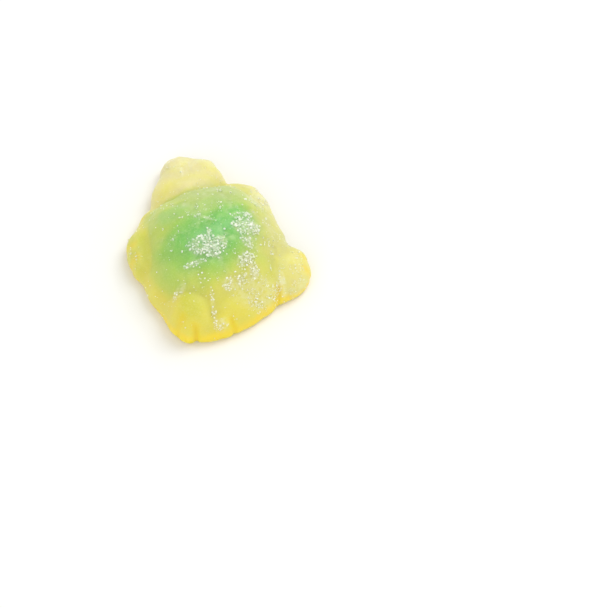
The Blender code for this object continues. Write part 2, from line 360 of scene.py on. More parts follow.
def skin_rings(spokes, back_rings, rim_rings, base_rings):
    """Rings of points from the middle of the back, over the rim, to the flat underside."""
    angles = spoke_angles(spokes)
    outward = np.stack([np.cos(angles), np.sin(angles), np.zeros(spokes)], 1)
    up = np.array([0.0, 0.0, 1.0])
    hub = np.tile(HUB, (spokes, 1))
    rim = reach(hub, outward, WIDEST_REACH)
    inner = rim - RIM_INSET
    rings = []
    for k in range(1, back_rings + 1):
        foot = hub + outward * (inner * k / back_rings)[:, None]
        rings.append(foot + up * reach(foot, np.tile(up, (spokes, 1)), TALLEST_REACH)[:, None])
    foot = hub + outward * inner[:, None]
    for k in range(1, rim_rings + 1):
        tilt = np.pi / 2.0 * (1.0 - k / rim_rings)
        heading = outward * np.cos(tilt) + up * np.sin(tilt)
        rings.append(foot + heading * reach(foot, heading, TALLEST_REACH)[:, None])
    for k in range(1, base_rings + 1):
        tilt = np.pi / 2.0 * k / base_rings
        radius = rim - BASE_ROUNDING * (1.0 - np.cos(tilt))
        rings.append(hub + outward * radius[:, None] - up * RIM_HEIGHT * np.sin(tilt))
    top = HUB + up * reach(hub[:1], up[None, :], TALLEST_REACH)[0]
    return np.array(rings), top


MIDDLE = outline_middle()


class Patch(NamedTuple):
    """A place on the back where the largest grains have stuck, as in the solid."""

    left: float
    tail: float
    half_width: float
    half_length: float
    turn: float
    grains: int


PATCHES = (
    Patch(3.3, 2.8, 3.6, 2.2, -22.0, 44),
    Patch(1.9, 0.5, 0.5, 1.5, -12.0, 4),
    Patch(-5.4, 0.8, 2.7, 2.1, -10.0, 30),
    Patch(-5.5, -1.9, 2.4, 1.0, -4.0, 8),
    Patch(-4.5, 4.0, 1.2, 1.8, 20.0, 8),
    Patch(-3.2, 7.6, 2.2, 1.4, 15.0, 16),
    Patch(-3.9, 9.5, 1.0, 1.7, 10.0, 6),
    Patch(0.8, 10.3, 2.4, 0.9, 0.0, 9),
    Patch(6.7, 5.1, 2.3, 0.6, -4.0, 8),
    Patch(5.6, 12.6, 0.5, 3.0, -8.0, 9),
    Patch(0.5, -1.0, 12.0, 12.0, 0.0, 20),
)
GRAIN_SIZE = (0.28, 0.52)
GRAIN_THINNEST = 0.65
GRAIN_LIFT = 0.14
GRAIN_SPACING = 0.55
TRIES_PER_GRAIN = 60
SEED = 41


def skin_height(x, y):
    """Height of the back over a plan point."""
    foot = np.array([[x, y, RIM_HEIGHT]])
    return reach(foot, np.array([[0.0, 0.0, 1.0]]), TALLEST_REACH)[0] + RIM_HEIGHT


def grain_places(random):
    """Seeded places for the largest grains, thick in the patches and clear of each other."""
    places = []
    for patch in PATCHES:
        placed = 0
        for _ in range(patch.grains * TRIES_PER_GRAIN):
            if placed == patch.grains:
                break
            out = np.sqrt(random.random())
            angle = random.random() * 2.0 * np.pi
            across = out * np.cos(angle) * patch.half_width
            along = out * np.sin(angle) * patch.half_length
            tilt = np.radians(patch.turn)
            x = patch.left + across * np.cos(tilt) - along * np.sin(tilt)
            y = patch.tail + across * np.sin(tilt) + along * np.cos(tilt)
            if any(np.hypot(x - p[0], y - p[1]) < GRAIN_SPACING for p in places):
                continue
            places.append((x, y, skin_height(x, y)))
            placed += 1
    return places


def grain_matrix(place, random):
    """One grain's random size, squeeze and turn, for a block a millimetre across."""
    size = GRAIN_SIZE[0] + (GRAIN_SIZE[1] - GRAIN_SIZE[0]) * random.random() ** 2
    thin = GRAIN_THINNEST + (1.0 - GRAIN_THINNEST) * random.random(2)
    squeeze = Matrix.Diagonal((size, size * thin[0], size * thin[1], 1.0))
    turn = Matrix.Rotation(random.random() * 2.0 * np.pi, 4, Vector(random.normal(size=3)))
    move = Matrix.Translation((place[0], place[1], place[2] + size * GRAIN_LIFT))
    return move @ turn @ squeeze


class Bed(NamedTuple):
    """A place where sugar has stuck: an oval in plan, its grains a square millimetre, and its whitish film,
    which is sugar and also painted light that lifts the shade the grains cast.
    """

    name: str
    left: float
    tail: float
    half_width: float
    half_length: float
    turn: float
    coarse: float
    fine: float
    film: float


BEDS = (
    Bed("middle patch", 3.4, 2.7, 3.8, 2.4, -22.0, 2.6, 12.0, 0.6),
    Bed("middle core", 2.7, 3.3, 1.9, 1.3, -30.0, 5.4, 22.0, 0.9),
    Bed("middle spike", 1.9, 0.5, 0.6, 1.7, -12.0, 2.4, 22.0, 0.7),
    Bed("middle loop", 0.3, 2.8, 1.3, 1.6, 0.0, 1.3, 13.0, 0.7),
    Bed("middle edge", 2.8, 4.9, 2.0, 0.6, -36.0, 1.6, 12.0, 0.6),
    Bed("arc", 6.4, 5.1, 2.6, 0.6, -4.0, 1.0, 8.0, 0.5),
    Bed("right patch", -5.5, 0.9, 2.9, 2.2, -10.0, 3.3, 15.0, 0.7),
    Bed("right patch, front", -5.5, -1.9, 2.6, 1.1, -4.0, 2.0, 12.0, 0.3),
    Bed("right patch, rear", -4.5, 4.0, 1.3, 1.9, 20.0, 1.5, 11.0, 0.5),
    Bed("rear patch", -3.0, 7.4, 2.3, 1.3, 15.0, 1.6, 12.0, 0.5),
    Bed("rear column", -4.0, 9.3, 1.1, 1.9, 10.0, 2.0, 14.0, 0.6),
    Bed("rear bar", -0.8, 10.3, 3.4, 0.8, 4.0, 0.9, 9.0, 0.5),
    Bed("rear left", 1.5, 10.3, 1.5, 1.0, 0.0, 1.6, 12.0, 0.5),
    Bed("rear line", 5.6, 13.4, 0.5, 3.6, -8.0, 1.0, 10.0, 0.45),
    Bed("left hollow", 10.9, 7.9, 1.9, 0.9, 28.0, 0.3, 8.0, 0.5),
    Bed("right shoulder", -11.6, -7.4, 4.2, 2.4, 45.0, 0.5, 6.0, 0.5),
    Bed("right hind hollow", -9.2, 11.6, 0.8, 2.4, -10.0, 0.5, 6.0, 0.8),
    Bed("right foot", -12.2, 12.4, 2.6, 1.0, 25.0, 0.3, 5.0, 0.2),
    Bed("tail", 4.9, 15.6, 1.7, 1.1, 0.0, 0.6, 9.0, 0.5),
    Bed("shell front", 2.8, -5.4, 3.4, 2.4, 0.0, 0.5, 1.6, 0.1),
    Bed("left specks", 9.6, -0.6, 1.3, 1.3, 0.0, 0.8, 2.6, 0.1),
    Bed("front cluster", 3.6, -5.3, 0.6, 1.3, 45.0, 1.4, 6.0, 0.2),
    Bed("front line", 1.2, -3.0, 0.35, 1.9, 52.0, 0.3, 4.0, 0.5),
    # Painted highlight: a whitish line along the face crease.
    Bed("face line", 0.6, -19.4, 0.45, 2.8, -16.0, 0.0, 0.0, 0.7),
    Bed("whole back", 0.2, -2.5, 26.0, 30.0, 0.0, 0.03, 0.3, 0.0),
    Bed("shell dust", -1.2, 3.6, 14.0, 13.0, 0.0, 0.06, 0.9, 0.0),
    Bed("rear dust", -4.3, 12.6, 6.6, 3.2, -18.0, 0.2, 4.5, 0.44),
    Bed("left bulge dust", 15.6, -4.6, 1.8, 3.0, 0.0, 0.1, 1.2, 0.1),
    Bed("right foot top", -12.6, 8.6, 2.6, 2.6, 0.0, 0.1, 2.2, 0.14),
    Bed("head top", -0.6, -20.6, 4.4, 1.8, 0.0, 0.03, 0.4, 0.25),
)

# A bed of sugar fades out between these shares of its size.
BED_EDGE = (0.55, 1.15)

# Grains lie thickest where the skin faces up. None sit low on the rim or under it.
LOWEST_GRAIN = 1.2
FACING_UP = (0.2, 0.7)
WALL_SHARE = 0.35
LEAST_FACING = -0.1

# Inside a bed the grains gather in strands and lumps, so they lie closer there than its mean.
CLUMP_LENGTH = 1.4
LUMP_LENGTH = CLUMP_LENGTH / 2.3
CLUMP_CELLS = 97
STRAND_SHARE = 0.65
STRANDS = (0.54, 0.80)
GATHERING = 2.3

# Share of a small grain's size that it stands out of the skin, from its middle.
SMALL_LIFT = 0.16

# Its thinnest side, and how far its corners are pulled askew, as shares of its size.
SMALL_THINNEST = 0.55
SKEW = 0.16


class GrainFinish(NamedTuple):
    """How one kind of grain looks: how rough, how much jelly colour it takes up, and its edges."""

    roughness: float
    tint_gain: float
    edges_cut: bool


GRAIN_FINISHES = {
    "large_sugar": GrainFinish(0.18, 1.1, True),
    "coarse_sugar": GrainFinish(0.18, 1.1, True),
    "fine_sugar": GrainFinish(0.30, 1.4, False),
}

# Least and most of the jelly's colour from grain to grain, as shares of the tint.
TONES = (0.2, 1.8)

# Noise that makes each grain unevenly rough: its length in millimetres and its detail.
SUGAR_NOISE = (0.5, 1.0)
SUGAR_UNEVEN = 0.2


class Zone(NamedTuple):
    """A field of colour in the jelly: an oval in plan with a soft edge."""

    name: str
    left: float
    tail: float
    half_width: float
    half_length: float
    turn: float
    solid_share: float
    strength: float


# Later zones lie over earlier ones, and those of the shell show only on the shell. The colour of
# each is the jelly's setting of the same name.
BODY_ZONES = (
    Zone("left_foreleg", 14.4, -5.3, 4.7, 7.8, 0.0, 0.21, 1.0),
    Zone("left_hind_leg", 9.4, 11.4, 4.0, 4.0, -20.0, 0.34, 1.0),
    Zone("right_side", -11.1, 2.9, 6.8, 8.4, 1.0, 0.31, 1.0),
    Zone("head", 0.7, -19.5, 13.5, 9.5, 0.0, 0.6, 1.0),
    Zone("neck", 6.2, -16.0, 4.2, 5.2, 0.0, 0.2, 1.0),
    Zone("left_front", 9.9, -10.8, 3.0, 4.0, -20.0, 0.3, 1.0),
    Zone("shoulder", -12.3, -7.4, 5.7, 8.8, 11.0, 0.21, 1.0),
    Zone("right_foot", -11.8, 10.9, 7.7, 7.1, 0.0, 0.29, 1.0),
)
SHELL_ZONES = (
    Zone("shell_right", -9.2, 2.5, 6.3, 9.7, 0.0, 0.31, 1.0),
    Zone("shell_rear", -0.4, 12.1, 13.5, 5.0, 6.0, 0.31, 1.0),
    Zone("shell_front", -2.9, -8.7, 11.3, 6.9, 0.0, 0.32, 1.0),
    Zone("cool_front", 6.8, -7.3, 5.4, 2.8, 10.0, 0.3, 1.0),
    Zone("left_green", 8.8, 2.1, 5.6, 6.4, 20.0, 0.29, 1.0),
    Zone("green", 1.8, 0.5, 13.4, 9.5, 7.0, 0.34, 1.0),
    Zone("right_green", -4.5, -1.2, 4.8, 4.9, 0.0, 0.25, 1.0),
    Zone("lime", 0.4, -5.2, 4.5, 2.9, 0.0, 0.21, 0.7),
    Zone("emerald", 1.6, 0.3, 7.8, 2.8, 5.0, 0.16, 0.6),
)

# A zone takes no notice of height. Its edge wanders by up to half the warp either way.
FLAT_ZONE = 1e6
ZONE_WARP = 3.0
ZONE_WARP_LENGTH = 6.0
ZONE_WARP_DETAIL = 3.0
NOISE_MIDDLE = (0.5, 0.5, 0.5)

# The yellow base stands higher towards the tail, and its top is wavy.
BASE_SLOPE = (2.0, 14.0)
BASE_TOP = (1.6, 3.6)
BASE_WAVE = 1.6
BASE_WAVE_LENGTH = 4.0
BASE_FADE = 2.6

# Far to the right the base stands lower, so the jelly is paler there.
PALE_SIDE = (-9.0, -12.5)
PALE_SIDE_DROP = 0.9


class Film(NamedTuple):
    """A patchy film: its noise, the noise's values where it starts and is full, and its strength."""

    length: float
    detail: float
    roughness: float
    starts: float
    full: float
    strength: float


# The seams' whitish film of sugar, which along the face crease is a painted highlight.
SEAM_FILM_AND_HIGHLIGHT = Film(1.6, 4.0, 0.6, 0.42, 0.72, 0.32)
# Under the beds the film is partly dissolved sugar and partly painted light that lifts the shade the grains
# cast.
BED_FILM_AND_LIGHT = Film(0.7, 3.0, 0.6, 0.28, 0.60, 0.76)
FROST = Film(0.32, 3.0, 0.65, 0.40, 0.80, 0.17)

# How strongly the other layers of colour cover what is under them.
JOIN_STRENGTH = 0.4
RIM_STRENGTH = 0.85
GROOVE_STRENGTH = 0.7

# Relief finer than the mesh, from two noises: length in millimetres, detail and roughness.
GRAIN_NOISE = (0.22, 3.0, 0.6)
DIMPLE_NOISE = (0.9, 2.0)
DIMPLE_GAIN = 1.2
RELIEF_STRENGTH = 0.55
FROST_ROUGHNESS = 0.25

# The floor's paper: the fibre's noise, the noise's values that it runs between, a fibre's shade,
# and the least share of plain paper.
PAPER_NOISE = (1.2, 4.0)
PAPER_FIBRE = (0.2, 0.8)
FIBRE_SHADE = 0.985
LEAST_PLAIN = 0.985
FLOOR_HALF = 3.0


class Lamp(NamedTuple):
    """A square light: the length of its side and its place, in metres."""

    size: float
    place: tuple


KEY_LAMP = Lamp(0.35, (-0.30, -0.10, 0.52))
FILL_LAMP = Lamp(0.5, (0.35, 0.35, 0.40))
LAMP_TARGET = (0.0, 0.0, 0.005)

# The camera's sensor in millimetres, and the nearest and furthest that it sees, in metres.
SENSOR_WIDTH = 36.0
CLIP_RANGE = (0.01, 20.0)


def colour_setting(name, description, default):
    """A colour that the panel shows."""
    return FloatVectorProperty(
        name=name, description=description, default=default, subtype="COLOR", min=0.0, max=1.0, size=3
    )


def length_setting(name, description, default):
    """A length in metres that the panel shows."""
    return FloatProperty(
        name=name, description=description, default=default, min=0.0,
        subtype="DISTANCE", unit="LENGTH", precision=5,
    )


def count_setting(name, description, default, least, most):
    """A whole number that the panel shows."""
    return IntProperty(name=name, description=description, default=default, min=least, max=most)


def share_setting(name, description, default, most=1.0):
    """A share of something that the panel shows."""
    return FloatProperty(
        name=name, description=description, default=default, min=0.0, max=most, subtype="FACTOR"
    )


def angle_setting(name, description, degrees):
    """An angle that the panel shows in degrees."""
    return FloatProperty(
        name=name, description=description, default=np.radians(degrees), subtype="ANGLE", unit="ROTATION"
    )


def power_setting(name, description, default):
    """A light's power in watts that the panel shows."""
    return FloatProperty(name=name, description=description, default=default, min=0.0, unit="POWER")


class JellySettings(bpy.types.PropertyGroup):
    """How finely the jelly is cut, its finish and its colours."""

    spokes: count_setting("Spokes", "Points round each ring", 520, 64, 1024)
    back_rings: count_setting("Back rings", "Rings over the back", 84, 16, 200)
    rim_rings: count_setting("Rim rings", "Rings over the rim", 26, 8, 64)
    base_rings: count_setting("Base rings", "Rings round the base edge", 5, 3, 16)
    glow_depth: length_setting("Glow depth", "How deep light spreads inside the jelly", 0.0032)
    frost_depth: length_setting("Frost depth", "Height of the frosted skin's grain", 0.00005)
    roughness: share_setting("Roughness", "Least roughness of the skin", 0.42)
    ground: colour_setting("Ground", "Yellow jelly that no other colour covers", (0.75, 0.66, 0.09))
    shell: colour_setting("Shell", "Yellow-green round the middle", (0.51, 0.62, 0.11))
    shell_front: colour_setting("Shell front", "Paler yellow-green behind the head", (0.47, 0.58, 0.19))
    green: colour_setting("Green", "Green in the middle of the back", (0.21, 0.53, 0.11))
    right_green: colour_setting("Right green", "Green under the right patch of sugar", (0.21, 0.56, 0.11))
    lime: colour_setting("Lime", "Brighter plate at the front of the shell", (0.47, 0.63, 0.19))
    emerald: colour_setting("Emerald", "Cooler streak through the green", (0.27, 0.63, 0.24))
    head: colour_setting("Head", "Pale head and neck", (0.75, 0.69, 0.34))
    neck: colour_setting("Neck", "Warmer yellow on the neck's left side", (0.8, 0.73, 0.27))
    left_front: colour_setting("Left front", "Greener flank beside the neck", (0.53, 0.62, 0.16))
    shoulder: colour_setting("Shoulder", "Palest jelly on the right shoulder", (0.76, 0.69, 0.33))
    right_foot: colour_setting("Right hind foot", "Pale right hind leg", (0.75, 0.7, 0.24))
    left_hind_leg: colour_setting("Left hind leg", "Yellow-green left hind leg", (0.56, 0.55, 0.06))
    right_side: colour_setting("Right side", "Pale yellow on the body's right side", (0.64, 0.6, 0.25))
    shell_right: colour_setting("Shell, right", "Pale yellow-green on the shell's right", (0.61, 0.6, 0.16))
    shell_rear: colour_setting("Shell, rear", "Yellow-green at the shell's rear", (0.7, 0.68, 0.12))
    cool_front: colour_setting("Cool front", "Cooler green at the shell's front left", (0.4, 0.59, 0.17))
    left_green: colour_setting("Left green", "Green that runs down the shell's left side", (0.23, 0.58, 0.1))
    left_foreleg: colour_setting("Left foreleg", "Duller yellow on the left side", (0.6, 0.62, 0.1))
    rim: colour_setting("Rim", "Bright yellow low on the sides", (0.99, 0.71, 0.02))
    # Painted shade: a deep yellow painted into the toe grooves.
    groove: colour_setting("Groove", "Deep yellow in the toe grooves", (0.86, 0.67, 0.003))
    # Painted shade: a stronger yellow painted where two swellings meet.
    join: colour_setting("Join", "Stronger yellow where two swellings meet", (0.73, 0.7, 0.15))
    # Whitish film of dissolved sugar, also used as painted light: a highlight down the face crease and a
    # lift of the shade the grains cast.
    bloom: colour_setting("Bloom", "Whitish film of dissolved sugar", (0.89, 0.88, 0.60))


class SugarSettings(bpy.types.PropertyGroup):
    """Sizes of the small sugar grains, their look, and the seed of their places."""

    coarse_least: length_setting("Coarse, least", "Smallest coarse grain", 0.00022)
    coarse_most: length_setting("Coarse, most", "Largest coarse grain", 0.00046)
    fine_least: length_setting("Fine, least", "Smallest fine grain", 0.00010)
    fine_most: length_setting("Fine, most", "Largest fine grain", 0.00024)
    chamfer: share_setting("Chamfer", "Cut edges, as a share of a grain", 0.16, 0.4)
    tint: share_setting("Tint", "Jelly colour that shows through a grain", 0.24)
    seed: count_setting("Seed", "Seed of the small grains' places", 41, 0, 9999)
    white: colour_setting("White", "Colour of the sugar", (0.97, 0.98, 0.87))


class StudioSettings(bpy.types.PropertyGroup):
    """The camera's place and the strength of the light."""

    azimuth: angle_setting("Azimuth", "Camera's bearing, from in front of the head", 160.0)
    elevation: angle_setting("Elevation", "Camera's angle above the floor", 59.25)
    distance: length_setting("Distance", "From the camera to the turtle's origin", 0.48)
    right_of_middle: length_setting("Aside", "Frame's middle, to the right of the turtle", 0.01881)
    below_middle: length_setting("Below", "Frame's middle, below the turtle", 0.01117)
    frame_width: length_setting("Frame width", "Width that the frame takes in at that distance", 0.1219)
    key_power: power_setting("Key light", "Power of the key light", 1.5)
    fill_power: power_setting("Fill light", "Power of the fill light", 0.7)
    sky: FloatProperty(name="Sky", description="Strength of the even light all round", default=0.76, min=0.0)
    floor: colour_setting("Floor", "Pale floor", (0.90, 0.90, 0.89))


class Amount:
    """A number in a material's nodes. Sums written with it become Math nodes."""

    def __init__(self, net, socket):
        self.net = net
        self.socket = socket

    def math(self, operation, first, second):
        """One Math node on two numbers."""
        made = self.net.add("ShaderNodeMath", {"operation": operation}, {0: first, 1: second})
        return Amount(self.net, made.outputs[0])

    def __add__(self, other):
        return self.math("ADD", self, other)

    def __radd__(self, other):
        return self.math("ADD", other, self)

    def __sub__(self, other):
        return self.math("SUBTRACT", self, other)

    def __rsub__(self, other):
        return self.math("SUBTRACT", other, self)

    def __mul__(self, other):
        return self.math("MULTIPLY", self, other)

    def __rmul__(self, other):
        return self.math("MULTIPLY", other, self)


class Net:
    """A material's node tree."""

    def __init__(self, name):
        self.material = bpy.data.materials.new(name)
        self.material.use_nodes = True
        self.tree = self.material.node_tree
        self.shader = self.tree.nodes["Principled BSDF"]

    def fill(self, node, sockets):
        """Gives a node's sockets their values or links."""
        for key, value in sockets.items():
            if isinstance(value, Amount):
                value = value.socket
            if isinstance(value, bpy.types.NodeSocket):
                self.tree.links.new(value, node.inputs[key])
            else:
                node.inputs[key].default_value = value

    def add(self, kind, settings, sockets):
        """Adds a node: its own settings first, then its sockets."""
        node = self.tree.nodes.new(kind)
        for name, value in settings.items():
            setattr(node, name, value)
        self.fill(node, sockets)
        return node

    def vector(self, operation, first, second):
        """One Vector Math node."""
        return self.add("ShaderNodeVectorMath", {"operation": operation}, {0: first, 1: second}).outputs[0]

    def place(self):
        """The surface's place in millimetres from the maker's middle."""
        here = self.add("ShaderNodeTexCoord", {}, {}).outputs["Object"]
        grown = self.vector("DIVIDE", here, (MM, MM, MM))
        return self.vector("ADD", grown, tuple(MIDDLE))

    def noise(self, place, length, detail=2.0, roughness=0.5):
        """Soft noise whose lumps are about as long as given, in millimetres."""
        return self.add(
            "ShaderNodeTexNoise",
            {},
            {"Vector": place, "Scale": 1.0 / length, "Detail": detail, "Roughness": roughness},
        )

    def mottle(self, place, length, detail=2.0, roughness=0.5):
        """That noise as a number round a half."""
        return Amount(self, self.noise(place, length, detail, roughness).outputs["Fac"])

    def ramp(self, value, low, high, start=0.0, end=1.0):
        """An even curve from start at low to end at high."""
        node = self.add(
            "ShaderNodeMapRange",
            {"interpolation_type": "SMOOTHSTEP"},
            {0: value, 1: low, 2: high, 3: start, 4: end},
        )
        return Amount(self, node.outputs[0])

    def mix(self, share, under, over):
        """One colour laid over another."""
        colours = {0: share, 6: under, 7: over}
        return self.add("ShaderNodeMix", {"data_type": "RGBA"}, colours).outputs[2]

    def attribute(self, name):
        """A number that the mesh carries."""
        return Amount(self, self.add("ShaderNodeAttribute", {"attribute_name": name}, {}).outputs["Fac"])


def solid_colour(colour):
    """A setting's colour with full opacity."""
    return (*colour, 1.0)


def zone_share(net, place, zone):
    """1 inside a zone, 0 outside, and a soft edge between."""
    oval = net.add(
        "ShaderNodeMapping",
        {"vector_type": "TEXTURE"},
        {
            "Vector": place,
            "Location": (zone.left, zone.tail, 0.0),
            "Rotation": (0.0, 0.0, np.radians(zone.turn)),
            "Scale": (zone.half_width, zone.half_length, FLAT_ZONE),
        },
    ).outputs[0]
    out = net.add("ShaderNodeVectorMath", {"operation": "LENGTH"}, {0: oval}).outputs["Value"]
    return net.ramp(out, zone.solid_share, 1.0, zone.strength, 0.0)


def jelly_colour(net, place):
    """The jelly's colour from its zones."""
    jelly = bpy.context.scene.turtle_jelly
    noise = net.noise(place, ZONE_WARP_LENGTH, ZONE_WARP_DETAIL).outputs["Color"]
    drift = net.vector("SUBTRACT", noise, NOISE_MIDDLE)
    drift = net.vector("MULTIPLY", drift, (ZONE_WARP, ZONE_WARP, 0.0))
    warped = net.vector("ADD", place, drift)
    layers = []
    for under, zones in ((jelly.ground, BODY_ZONES), (jelly.shell, SHELL_ZONES)):
        colour = solid_colour(under)
        for zone in zones:
            colour = net.mix(zone_share(net, warped, zone), colour, solid_colour(getattr(jelly, zone.name)))
        layers.append(colour)
    return net.mix(net.attribute("shell"), *layers)


def base_share(net, place):
    """1 in the strong yellow low on the sides, and 0 on the back."""
    split = net.add("ShaderNodeSeparateXYZ", {}, {0: place})
    left, tail, height = (Amount(net, split.outputs[k]) for k in range(3))
    base_top = net.ramp(tail, *BASE_SLOPE, *BASE_TOP) + net.mottle(place, BASE_WAVE_LENGTH) * BASE_WAVE
    base_top = base_top - net.ramp(left, *PALE_SIDE, 0.0, PALE_SIDE_DROP)
    return net.ramp(height - base_top, 0.0, -BASE_FADE)


def film_patches(net, place, film):
    """1 in a film's patches, 0 between them, and a soft edge."""
    noise = net.mottle(place, film.length, film.detail, film.roughness)
    return net.ramp(noise, film.starts, film.full)


def jelly_material():
    """Frosted jelly: a soft glow, a whitish film in the seams and under the sugar, a grainy skin, and
    painted light: shade in the toe grooves and joins, a highlight down the face crease, and a lift of the
    shade the grains cast.
    """
    jelly = bpy.context.scene.turtle_jelly
    net = Net("sour_jelly_frosted")
    place = net.place()
    colour = jelly_colour(net, place)
    frost = film_patches(net, place, FROST)
    layers = (
        # Painted shade where two swellings meet.
        (net.attribute("join") * JOIN_STRENGTH, jelly.join),
        # Sugar film in the seams, and a painted highlight along the face crease.
        (net.attribute("seam") * film_patches(net, place, SEAM_FILM_AND_HIGHLIGHT) * SEAM_FILM_AND_HIGHLIGHT.strength, jelly.bloom),
        # Sugar film under the beds, partly painted light that lifts the shade the grains cast.
        (net.attribute("film") * film_patches(net, place, BED_FILM_AND_LIGHT) * BED_FILM_AND_LIGHT.strength, jelly.bloom),
        (frost * FROST.strength, jelly.bloom),
        (base_share(net, place) * RIM_STRENGTH, jelly.rim),
        # Painted shade in the toe grooves.
        (net.attribute("groove") * GROOVE_STRENGTH, jelly.groove),
    )
    for share, over in layers:
        colour = net.mix(share, colour, solid_colour(over))
    relief = net.mottle(place, *GRAIN_NOISE) + net.mottle(place, *DIMPLE_NOISE) * DIMPLE_GAIN
    bump = net.add(
        "ShaderNodeBump",
        {},
        {"Strength": RELIEF_STRENGTH, "Distance": jelly.frost_depth, "Height": relief},
    )
    net.fill(net.shader, {
        "Base Color": colour,
        "Roughness": frost * FROST_ROUGHNESS + jelly.roughness,
        "Normal": bump.outputs[0],
        "IOR": 1.46,
        "Specular IOR Level": 0.35,
        "Subsurface Weight": 1.0,
        "Subsurface Radius": (1.0, 0.9, 0.35),
        "Subsurface Scale": jelly.glow_depth,
        "Sheen Weight": 0.12,
        "Sheen Roughness": 0.4,
    })
    return net.material


def sugar_material(name, finish):
    """White sugar with a little of the jelly's colour in it, uneven from grain to grain."""
    sugar = bpy.context.scene.turtle_sugar
    net = Net(name)
    place = net.place()
    uneven = net.mottle(place, *SUGAR_NOISE)
    share = net.ramp(net.attribute("tone"), 0.0, 1.0, *TONES) * (sugar.tint * finish.tint_gain)
    colour = net.mix(share, solid_colour(sugar.white), jelly_colour(net, place))
    net.fill(net.shader, {
        "Base Color": colour,
        "Roughness": uneven * SUGAR_UNEVEN + finish.roughness,
        "IOR": 1.54,
        "Subsurface Weight": 0.15,
        "Subsurface Radius": (1.0, 1.0, 0.9),
        "Subsurface Scale": 0.00005,
    })
    return net.material


def floor_material():
    """Pale matt paper."""
    studio = bpy.context.scene.turtle_studio
    net = Net("pale_paper")
    place = net.place()
    plain = net.ramp(net.mottle(place, *PAPER_NOISE), *PAPER_FIBRE, LEAST_PLAIN, 1.0)
    fibre = tuple(FIBRE_SHADE * channel for channel in studio.floor)
    colour = net.mix(plain, solid_colour(fibre), solid_colour(studio.floor))
    net.fill(net.shader, {"Base Color": colour, "Roughness": 0.8, "Specular IOR Level": 0.2})
    return net.material


def new_piece(name, points, faces, smooth):
    """A mesh object from points in metres."""
    mesh = bpy.data.meshes.new(name)
    mesh.from_pydata(points, [], faces)
    mesh.polygons.foreach_set("use_smooth", np.full(len(mesh.polygons), smooth))
    mesh.update()
    piece = bpy.data.objects.new(name, mesh)
    bpy.context.scene.collection.objects.link(piece)
    return piece


def carry_number(piece, name, values):
    """Stores a number at each point of a mesh, for its material."""
    piece.data.attributes.new(name, "FLOAT", "POINT").data.foreach_set("value", values.astype(np.float32))


def bed_share(x, y, bed):
    """1 in a bed of sugar, 0 outside, and a soft edge between."""
    across, along = turned(x, y, bed.left, bed.tail, bed.turn)
    return 1.0 - smooth_step(np.hypot(across / bed.half_width, along / bed.half_length), *BED_EDGE)


def clumps(random, x, y, length):
    """Seeded soft lumps in plan, as numbers from 0 to 1."""
    grid = random.random((CLUMP_CELLS, CLUMP_CELLS))
    u, v = x / length, y / length
    i, j = np.floor(u).astype(int), np.floor(v).astype(int)
    s, t = smooth_step(u - i, 0.0, 1.0), smooth_step(v - j, 0.0, 1.0)
    left, right = j % CLUMP_CELLS, (j + 1) % CLUMP_CELLS
    rows = (i % CLUMP_CELLS, (i + 1) % CLUMP_CELLS)
    near, far = (grid[row, left] * (1 - t) + grid[row, right] * t for row in rows)
    return near * (1 - s) + far * s


def skin_samples(random, jelly, count):
    """Random places on the jelly's skin in metres, with their outward directions and the area."""
    mesh = jelly.data
    mesh.calc_loop_triangles()
    points = np.zeros(len(mesh.vertices) * 3, np.float32)
    mesh.vertices.foreach_get("co", points)
    corners = np.zeros(len(mesh.loop_triangles) * 3, np.int32)
    mesh.loop_triangles.foreach_get("vertices", corners)
    a, b, c = points.reshape(-1, 3).astype(float)[corners.reshape(-1, 3)].transpose(1, 0, 2)
    cross = np.cross(b - a, c - a)
    double_area = np.linalg.norm(cross, axis=1)
    pick = np.searchsorted(np.cumsum(double_area), random.random(count) * double_area.sum())
    pick = np.minimum(pick, len(a) - 1)
    u, v = random.random((2, count))
    over = u + v > 1.0
    u, v = np.where(over, 1.0 - u, u), np.where(over, 1.0 - v, v)
    place = a[pick] + (b - a)[pick] * u[:, None] + (c - a)[pick] * v[:, None]
    outward = cross[pick] / double_area[pick][:, None]
    return place, outward, double_area.sum() / 2.0


def sugar_places(random, jelly, kind, densest):
    """Places and directions of one kind of grain, thick in the beds and in small clumps."""
    area = skin_samples(random, jelly, 1)[2]
    place, outward, _ = skin_samples(random, jelly, int(area / MM ** 2 * densest))
    x, y = place[:, 0] / MM + MIDDLE[0], place[:, 1] / MM + MIDDLE[1]
    density = np.zeros(len(x))
    for bed in BEDS:
        density = np.maximum(density, getattr(bed, kind) * bed_share(x, y, bed))
    strands = 1.0 - np.abs(2.0 * clumps(random, x, y, CLUMP_LENGTH) - 1.0)
    lumps = strands * STRAND_SHARE + clumps(random, x, y, LUMP_LENGTH) * (1.0 - STRAND_SHARE)
    density *= GATHERING * smooth_step(lumps, *STRANDS)
    facing = WALL_SHARE + (1.0 - WALL_SHARE) * smooth_step(outward[:, 2], *FACING_UP)
    kept = random.random(len(x)) * densest < density * facing
    kept &= (place[:, 2] > LOWEST_GRAIN * MM) & (outward[:, 2] > LEAST_FACING)
    return place[kept], outward[kept]


def grain_shape(chamfer):
    """Points and faces of one grain a unit across: a block with its edges cut, or left whole."""
    bm = bmesh.new()
    bmesh.ops.create_cube(bm, size=1.0)
    if chamfer > 0.0:
        bmesh.ops.bevel(bm, geom=bm.edges[:], offset=chamfer, segments=1, affect="EDGES")
    points = np.array([vert.co[:] for vert in bm.verts])
    faces = [[vert.index for vert in face.verts] for face in bm.faces]
    bm.free()
    return points, faces


